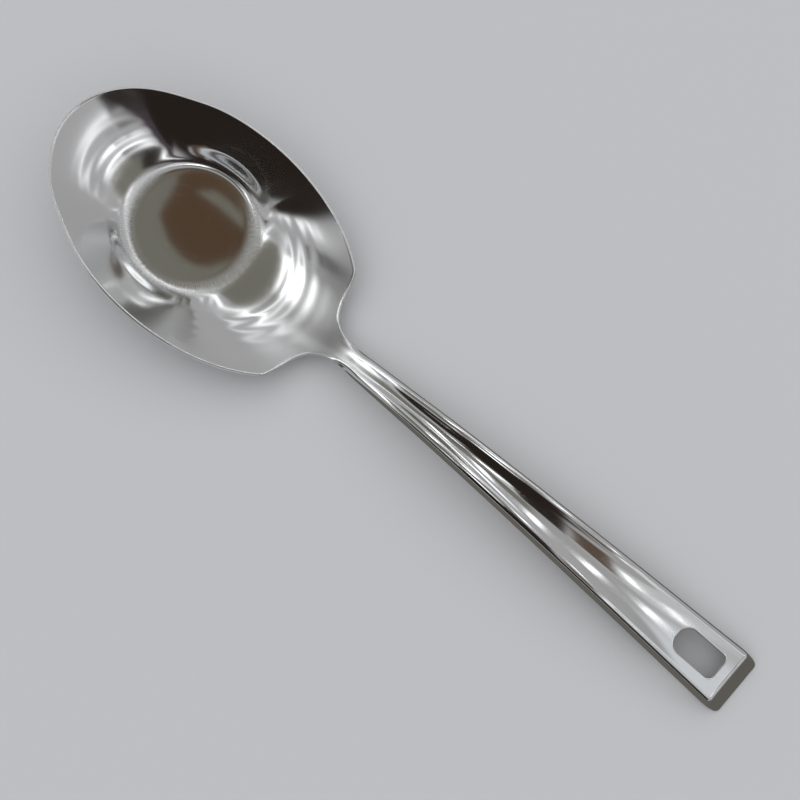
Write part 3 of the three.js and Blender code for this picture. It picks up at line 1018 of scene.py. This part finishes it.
def polish(tree, surface, finish, wear, roughness, relief, smudge, scored):
    """Steel with its smudges and scratches, duller where it is smudged and brighter on its cut edges."""
    edge = Term(tree, add_node(tree, "ShaderNodeAttribute", {"attribute_name": "cut_edge"})["Fac"])
    rough = roughness + (smudge - 0.5) * SMUDGE_ROUGHNESS + scored * wear.rough
    feed(tree, surface["Metallic"], 1.0)
    feed(tree, surface["Roughness"], mix(rough, finish.edge_roughness, edge))

    colours = {"data_type": "RGBA"}
    clean = (*finish.steel, 1.0)
    smudged = (*(SMUDGE_SHADE * part for part in finish.steel), 1.0)
    ground = (*finish.cut_edge, 1.0)
    dull = add_node(tree, "ShaderNodeMix", colours, A=clean, B=smudged, Factor=smudge * wear.dull)
    shade = add_node(tree, "ShaderNodeMix", colours, A=dull["Result"], B=ground, Factor=edge)
    feed(tree, surface["Base Color"], shade["Result"])

    height = relief - scored * wear.scratch
    bump = add_node(tree, "ShaderNodeBump", Strength=1.0, Distance=finish.hair_depth, Height=height)
    feed(tree, surface["Normal"], bump["Normal"])


def bowl_steel(spoon):
    """Polished steel with radial brush marks along the bends, a satin neck and fine scratches."""
    finish, bowl, wear = spoon.finish, spoon.bowl, BOWL_WEAR
    material, tree, surface = new_material("bowl_steel", finish.steel)
    x, y, _ = level_place(tree, spoon)
    distance = square_root(x * x + y * y)
    cosine, sine = x / distance, y / distance
    past_bend = distance - bowl.base_bend_radius
    part = past_bend / (rim_distance(cosine, sine, bowl) - bowl.base_bend_radius)

    hairs = noise(tree, cosine * finish.hair_count, sine * finish.hair_count, distance / finish.hair_length)
    base_ring = smooth_step(past_bend, *RING_FADE_IN) * (1.0 - smooth_step(past_bend, *RING_FADE_OUT))
    wall_ring = bell(part, bowl.wall_bend_part, WALL_RING_SPREAD) * WALL_RING_STRENGTH
    strands = mix(BETWEEN_STRANDS, 1.0, smooth_step(hairs, *STRAND_CONTRAST))
    worn = smooth_step(cosine * WORN_SIDE[0] + sine * WORN_SIDE[1], *WORN_FADE)
    brushed = smaller(base_ring + wall_ring, 1.0) * strands * (1.0 - worn * WORN_SHARE)
    satin = smooth_step(x, *BOWL_SATIN)
    smudge = noise(tree, x / BOWL_SMUDGE[0], y / BOWL_SMUDGE[1], 0.0, SMUDGE_DETAIL)
    scored = larger(*(scratches(tree, x, y, *marks, finish.scratch_rarity) for marks in BOWL_SCRATCHES))

    past_base = smooth_step(past_bend, -bowl.base_bend_reach, 0.0)
    plain = mix(finish.base_roughness, finish.wall_roughness, past_base)
    roughness = mix(mix(plain, finish.neck_roughness, satin), finish.brushed_roughness, brushed)
    relief = hairs * (brushed + satin * wear.satin + wear.plain)
    polish(tree, surface, finish, wear, roughness, relief, smudge, scored)
    grain_round_base(tree, surface, cosine, sine, brushed * BRUSH_STRETCH)
    return material


def handle_steel(spoon):
    """Mirror-polished steel with faint polishing lines along the handle and a few scratches."""
    finish, wear = spoon.finish, HANDLE_WEAR
    material, tree, surface = new_material("handle_steel", finish.steel)
    x, y, z = level_place(tree, spoon)
    lines = noise(tree, x / POLISHING_LINE[0], y / POLISHING_LINE[1], z / POLISHING_LINE[1])
    smudge = noise(tree, x / HANDLE_SMUDGE[0], y / HANDLE_SMUDGE[1], 0.0, SMUDGE_DETAIL)
    waves = noise(tree, x / WAVE[0], y / WAVE[1], WAVE_LAYER, 0.0)
    scored = scratches(tree, x, y, *HANDLE_SCRATCHES, finish.scratch_rarity)
    satin = 1.0 - smooth_step(x, *HANDLE_SATIN)
    roughness = mix(finish.handle_roughness, finish.neck_roughness, satin)
    relief = lines * (satin * wear.satin + wear.plain) + waves * wear.wave
    polish(tree, surface, finish, wear, roughness, relief, smudge, scored)
    return material


# Stage: a floor, soft light, and cards for the steel to mirror, at places in the frame

FLOOR_HALF = 6.0
# Studio round the spoon: parts of the way up from the floor's level to overhead
HORIZON_TOP = 0.12
WALL_BAND = (0.3, 0.5)
CEILING_START = 0.85
# Soft light: spread and lean in degrees
LAMP_SPREAD = 110
LAMP_LEAN = (-8, 5, 0)
LAMP_BRIGHTNESS = 1.75
# Camera: its sensor in millimetres and the nearest distance that it sees in metres
SENSOR_WIDTH = 36
CLIP_START = 0.01
# Colours of the cards
WHITE = (0.96, 0.98, 1.0)
BLACK = (0.022, 0.016, 0.013)
BROWN = (0.10, 0.062, 0.038)
OLIVE = (0.2, 0.195, 0.165)

# Ceiling lamps that run across the spoon, narrower towards the handle's end: place along, near and far end
CEILING_LAMPS = (
    (-0.95, -0.70, 0.15),
    (-0.33, -0.80, -0.05),
    (0.33, -0.62, -0.20),
    (0.42, -0.36, -0.08),
    (-0.45, 0.35, 1.40),
    (-0.20, 0.35, 1.40),
    (0.04, 0.60, 1.80),
    (0.24, 0.40, 1.10),
    (0.36, 0.08, 0.40),
)
CEILING_HEIGHT = 1.2
CEILING_BRIGHTNESS = 4.0
CEILING_TAPER = 0.055
CEILING_POINT = 0.6

# Strips of light: ends along, ends across, and brightness
STRIPS = (
    ((-1.07, -0.97), (-1.5, 1.5), 1.9),
    ((-1.34, -1.22), (-3.3, -1.4), 2.2),
    ((-1.44, -1.20), (0.75, 1.75), 1.1),
    ((1.46, 1.62), (-1.9, 1.6), 2.6),
    ((1.90, 2.02), (-2.2, 4.0), 2.0),
    ((-0.28, 0.06), (-0.54, -0.44), 2.2),
    ((0.56, 0.90), (-0.54, -0.42), 2.0),
)
STRIP_HEIGHT = 1.22
LIGHT_SOFTNESS = 0.7

DARK_TOP = ((-0.02, -0.26), (0.074, -0.26), (0.074, 0.004), (0.04, 0.0), (0.03, -0.07), (-0.02, -0.09))
DARK_TOP_HEIGHT = 0.15
DARK_TOP_SOFTNESS = 0.12

# Cards that show in the base: places on it, in millimetres from its middle, and the card's height over it
BROWN_PLACES = (
    (-12, 6), (-10.5, -1), (-9.5, -4), (-2, -8), (4, -9), (9, -8),
    (12.5, -5.5), (16.5, 1.5), (16, 14), (10, 21), (-8, 21), (-14, 10),
)
BROWN_HEIGHT = 1.05
PALE_PLACES = ((2, 10), (10.5, 10), (13, 10), (9, 13), (3, 13.7), (-2.5, 13), (-6.5, 9))
PALE_HEIGHT = 1.0
BASE_CARD_SOFTNESS = 0.03
MILLIMETRES_PER_METRE = 1000


def rectangle(along, across, height=0.0):
    """Corners of a level rectangle, counter-clockwise seen from above."""
    ends = zip((along[0], along[1], along[1], along[0]), (across[0], across[0], across[1], across[1]))
    return [(x, y, height) for x, y in ends]


def lay_floor(stage):
    """A wide floor that mirrors nothing."""
    material, _, surface = new_material("floor", stage.floor)
    surface["Roughness"].default_value = 1.0
    surface["Specular IOR Level"].default_value = 0.0
    side = (-FLOOR_HALF, FLOOR_HALF)
    mesh = bpy.data.meshes.new("floor")
    mesh.from_pydata(rectangle(side, side), [], [(0, 1, 2, 3)])
    mesh.materials.append(material)
    add_object("floor", mesh)


def light_world(stage):
    """A ceiling over walls, with a dimmer horizon."""
    world = bpy.data.worlds.new("studio")
    bpy.context.scene.world = world
    world.use_nodes = True
    tree = world.node_tree
    place = add_node(tree, "ShaderNodeTexCoord")
    split = add_node(tree, "ShaderNodeSeparateXYZ", Vector=place["Generated"])
    ramp = tree.nodes.new("ShaderNodeValToRGB")
    feed(tree, ramp.inputs["Fac"], split["Z"])
    ramp.color_ramp.interpolation = "EASE"
    stops = (
        (0.0, stage.horizon),
        (HORIZON_TOP, stage.horizon),
        (WALL_BAND[0], stage.walls),
        (WALL_BAND[1], stage.walls),
        (CEILING_START, stage.ceiling),
    )
    bands = ramp.color_ramp.elements
    while len(bands) < len(stops):
        bands.new(0.5)
    for band, (position, shade) in zip(bands, stops):
        band.position = position
        band.color = (*shade, 1.0)
    feed(tree, tree.nodes["Background"].inputs["Color"], ramp.outputs["Color"])


def light_room():
    """Wide soft light from overhead, even over the whole floor; the steel doesn't mirror it."""
    lamp = bpy.data.lights.new("soft_light", "SUN")
    lamp.angle = math.radians(LAMP_SPREAD)
    lamp.energy = LAMP_BRIGHTNESS
    holder = add_object("soft_light", lamp)
    holder.rotation_euler = [math.radians(lean) for lean in LAMP_LEAN]
    holder.visible_glossy = False


def glow_material(name, shade, brightness):
    """A glow that shows as written in the steel, and is clear where a card's cover ends."""
    material = bpy.data.materials.new(name)
    material.use_nodes = True
    tree = material.node_tree
    tree.nodes.remove(tree.nodes["Principled BSDF"])
    cover = add_node(tree, "ShaderNodeAttribute", {"attribute_name": "cover"})
    clear = add_node(tree, "ShaderNodeBsdfTransparent")
    glow = add_node(tree, "ShaderNodeEmission", Color=(*shade, 1.0), Strength=brightness)
    mixed = tree.nodes.new("ShaderNodeMixShader")
    for entry, socket in zip(mixed.inputs, (cover["Fac"], clear["BSDF"], glow["Emission"])):
        feed(tree, entry, socket)
    feed(tree, tree.nodes["Material Output"].inputs["Surface"], mixed.outputs["Shader"])
    return material


def add_card(name, corners, softness, shade, brightness=1.0):
    """A card that only shows in the steel, and dies away over the outer part of its outline."""
    outline = np.array(corners, float)
    middle = outline.mean(axis=0)
    count = len(outline)
    points = [middle]
    cover = [1.0]
    for step in np.linspace(0, 1, CARD_RINGS):
        points.extend(middle + (outline - middle) * (1 - softness * (1 - step)))
        cover.extend([1 - smooth_step(step, 0, 1)] * count)
    cells = []
    for i in range(count):
        after = (i + 1) % count
        cells.append((0, 1 + i, 1 + after))
        for inner in range(1, 1 + (CARD_RINGS - 1) * count, count):
            outer = inner + count
            cells.append((inner + i, outer + i, outer + after, inner + after))
    mesh = bpy.data.meshes.new(name)
    mesh.from_pydata([tuple(point) for point in points], [], cells)
    mesh.attributes.new("cover", "FLOAT", "POINT").data.foreach_set("value", cover)
    mesh.materials.append(glow_material(name, shade, brightness))
    card = add_object(name, mesh)
    card.visible_camera = False
    card.visible_diffuse = False
    card.visible_shadow = False
    return card


def level_card(name, along, across, height, softness, shade, brightness=1.0):
    """A card parallel to the floor between two places along the spoon and two places across it."""
    add_card(name, rectangle(along, across, height), softness, shade, brightness)


def hang_card(name, aim, azimuth, zenith, distance, size, softness, shade, brightness=1.0):
    """A card that faces the aim; its bearings, width and height are degrees as seen from there."""
    half_width, half_height = (distance * math.tan(math.radians(degrees) / 2) for degrees in size)
    corners = rectangle((-half_width, half_width), (-half_height, half_height))
    card = add_card(name, corners, softness, shade, brightness)
    azimuth, zenith = math.radians(azimuth), math.radians(zenith)
    direction = Vector((
        math.cos(azimuth) * math.sin(zenith),
        math.sin(azimuth) * math.sin(zenith),
        math.cos(zenith),
    ))
    card.location = aim + distance * direction
    card.rotation_euler = direction.to_track_quat("Z", "Y").to_euler()


def hang_base_card(name, places, height, shade, spoon):
    """A card over the bowl, cut so that its outline shows to the camera at places on the base."""
    camera = camera_place(spoon.stage)
    reach = height / camera.z
    corners = []
    for x, y in places:
        along = x / MILLIMETRES_PER_METRE * (1 + reach) - camera.x * reach
        across = y / MILLIMETRES_PER_METRE * (1 + reach) - camera.y * reach
        corners.append((along, across, height))
    add_card(name, corners, BASE_CARD_SOFTNESS, shade).matrix_world = rest_placement(spoon)


def hang_cards(spoon):
    """Ceiling lamps, strips, dark cards and a painted floor shadow, for the steel to mirror."""
    bowl = base_middle(spoon.sheet.thickness)
    for i, (x, *across) in enumerate(CEILING_LAMPS):
        half = CEILING_TAPER * (CEILING_POINT - x)
        place = (x - half, x + half), across, CEILING_HEIGHT
        level_card(f"ceiling_lamp_{i}", *place, LIGHT_SOFTNESS, WHITE, CEILING_BRIGHTNESS)
    level_card("low_lamp", (-0.033, 0.009), (-0.12, -0.055), 0.3, 0.6, WHITE, 3.5)
    level_card("end_ceiling", (0.34, 0.85), (-0.1, 0.8), 1.3, 0.5, (0.75, 0.78, 0.82))
    level_card("dim_ceiling", (-0.95, -0.25), (-0.6, 0.7), 1.3, 0.12, OLIVE)
    level_card("dim_ceiling_near", (-0.28, 0.03), (0.03, 0.7), 1.31, 0.12, OLIVE)
    for i, (along, across, brightness) in enumerate(STRIPS):
        level_card(f"strip_{i}", along, across, STRIP_HEIGHT, LIGHT_SOFTNESS, WHITE, brightness)
    hang_card("tip_olive", bowl, 0, 46, 1.3, (70, 12), 0.4, OLIVE)
    level_card("tip_lamp", (0.66, 1.15), (0.28, 0.95), 1.2, 0.5, WHITE, 2.4)
    level_card("light_ceiling", (-0.25, 0.95), (-0.85, 0.02), 1.28, 0.3, (0.62, 0.63, 0.64))
    hang_card("arc_lamp", bowl, 138, 44, 1.3, (44, 4), 0.6, WHITE, 1.9)
    hang_card("side_lamp", bowl, 95, 66, 1.2, (20, 10), 0.6, WHITE, 2.2)

    hang_card("dark_card", bowl, -83, 75, 0.9, (70, 60), 0.35, BLACK)
    hang_card("dark_flank", bowl, -109, 69, 0.88, (18, 18), 0.4, BLACK)
    hang_card("dark_tip", bowl, -42, 65.5, 1.0, (40, 7), 0.5, (0.07, 0.055, 0.065))
    add_card("dark_top", [(x, y, DARK_TOP_HEIGHT) for x, y in DARK_TOP], DARK_TOP_SOFTNESS, BLACK)
    level_card("brown_top", (0.084, 0.131), (-0.24, -0.01), 0.3, 0.25, BROWN)
    level_card("dark_side", (-0.092, -0.05), (-0.065, -0.013), 0.06, 0.3, BLACK)
    level_card("dim_over", (-0.12, 0.0), (-0.16, -0.004), 0.32, 0.3, (0.13, 0.13, 0.115))
    level_card("neck_dim", (-1.58, -1.14), (-0.85, 0.8), 1.15, 0.3, (0.06, 0.056, 0.05))
    level_card("dark_corner", (-1.36, -1.06), (-1.22, -0.84), 1.1, 0.4, BLACK)
    hang_base_card("brown_card", BROWN_PLACES, BROWN_HEIGHT, BROWN, spoon)
    hang_base_card("pale_card", PALE_PLACES, PALE_HEIGHT, OLIVE, spoon)
    # Painted shadow: a dark card lying on the floor beside the handle's end, seen only in the steel, that
    # stands in for the shade on the floor under the lip
    level_card("floor_card", (-0.03, 0.25), (-0.08, 0.08), 0.0002, 0.1, (0.14, 0.134, 0.12))


def camera_back(stage):
    """Direction from the spoon to the camera, with the spoon's base level."""
    along, across = stage.lean_along, stage.lean_across
    return Vector((
        math.sin(along) * math.cos(across),
        math.sin(across),
        math.cos(along) * math.cos(across),
    ))


def camera_place(stage):
    return Vector(stage.aim) + camera_back(stage) * stage.camera_distance


def set_camera(spoon):
    """The camera, placed from the spoon with its base level and then carried to where the spoon lies."""
    stage = spoon.stage
    back = camera_back(stage)
    ahead = (Vector((1, 0, 0)) - back * back.x).normalized()
    aside = back.cross(ahead)
    right = ahead * math.cos(stage.turn) + aside * math.sin(stage.turn)
    up = aside * math.cos(stage.turn) - ahead * math.sin(stage.turn)
    pose = Matrix((right, up, back)).transposed().to_4x4()
    camera = add_object("camera", bpy.data.cameras.new("camera"))
    camera.data.sensor_width = SENSOR_WIDTH
    camera.data.lens = stage.camera_focal
    camera.data.clip_start = CLIP_START
    camera.matrix_world = rest_placement(spoon) @ Matrix.Translation(camera_place(stage)) @ pose
    bpy.context.scene.camera = camera


# Operators


class SPOON_OT_press_bowl(bpy.types.Operator):
    """Cut the bowl's blank and press it into shape"""

    bl_idname = "spoon.press_bowl"
    bl_label = "Press bowl"

    def execute(self, context):
        spoon = context.scene.spoon
        blank = cut_bowl_blank(spoon)
        bowl = press(solid_object("bowl_pressing", blank), spoon, bowl_steel(spoon))
        finish_shading(bowl, blank, seam_normals_at(blank.points[blank.seam, 1], spoon))
        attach(bowl, "root")
        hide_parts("bowl")
        return {"FINISHED"}


class SPOON_OT_form_handle(bpy.types.Operator):
    """Form the handle with its trough, turned-down edges and hang hole"""

    bl_idname = "spoon.form_handle"
    bl_label = "Form handle"

    def execute(self, context):
        spoon = context.scene.spoon
        face, on_seam = handle_face(spoon)
        normals = face.normals()
        seam_places = face.points[on_seam]
        normals[on_seam] = bowl_normal(seam_places[:, 0], seam_places[:, 1], spoon.bowl)
        solid = sheet_solid(face, normals, on_seam, spoon.sheet)
        handle = solid_object("handle_forming", solid)
        handle.data.transform(rest_placement(spoon))
        handle.data.materials.append(handle_steel(spoon))
        finish_shading(handle, solid, seam_normals_at(solid.points[solid.seam, 1], spoon))
        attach(handle, "root")
        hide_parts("handle")
        return {"FINISHED"}


class SPOON_OT_set_stage(bpy.types.Operator):
    """Lay the floor, hang the lamps and set the camera"""

    bl_idname = "spoon.set_stage"
    bl_label = "Set stage"

    def execute(self, context):
        spoon = context.scene.spoon
        context.scene.view_settings.view_transform = "Standard"
        lay_floor(spoon.stage)
        light_world(spoon.stage)
        light_room()
        hang_cards(spoon)
        set_camera(spoon)
        return {"FINISHED"}


class SPOON_PT_panel(bpy.types.Panel):
    """Steps that make the spoon"""

    bl_idname = "SPOON_PT_panel"
    bl_label = "Rice serving spoon"
    bl_space_type = "VIEW_3D"
    bl_region_type = "UI"
    bl_category = "Spoon"

    def draw(self, context):
        for step in STEPS:
            self.layout.operator(step.bl_idname)


STEPS = (SPOON_OT_press_bowl, SPOON_OT_form_handle, SPOON_OT_set_stage)
CLASSES = (
    SheetSizes,
    BowlSizes,
    NeckSizes,
    HandleSizes,
    HoleSizes,
    FinishSettings,
    StageSettings,
    SpoonSettings,
    *STEPS,
    SPOON_PT_panel,
)


def register():
    for kind in CLASSES:
        bpy.utils.register_class(kind)
    bpy.types.Scene.spoon = PointerProperty(type=SpoonSettings)


def unregister():
    del bpy.types.Scene.spoon
    for kind in reversed(CLASSES):
        bpy.utils.unregister_class(kind)


def main():
    register()
    bpy.ops.spoon.press_bowl()
    bpy.ops.spoon.form_handle()
    bpy.ops.spoon.set_stage()


if __name__ == "__main__":
    main()
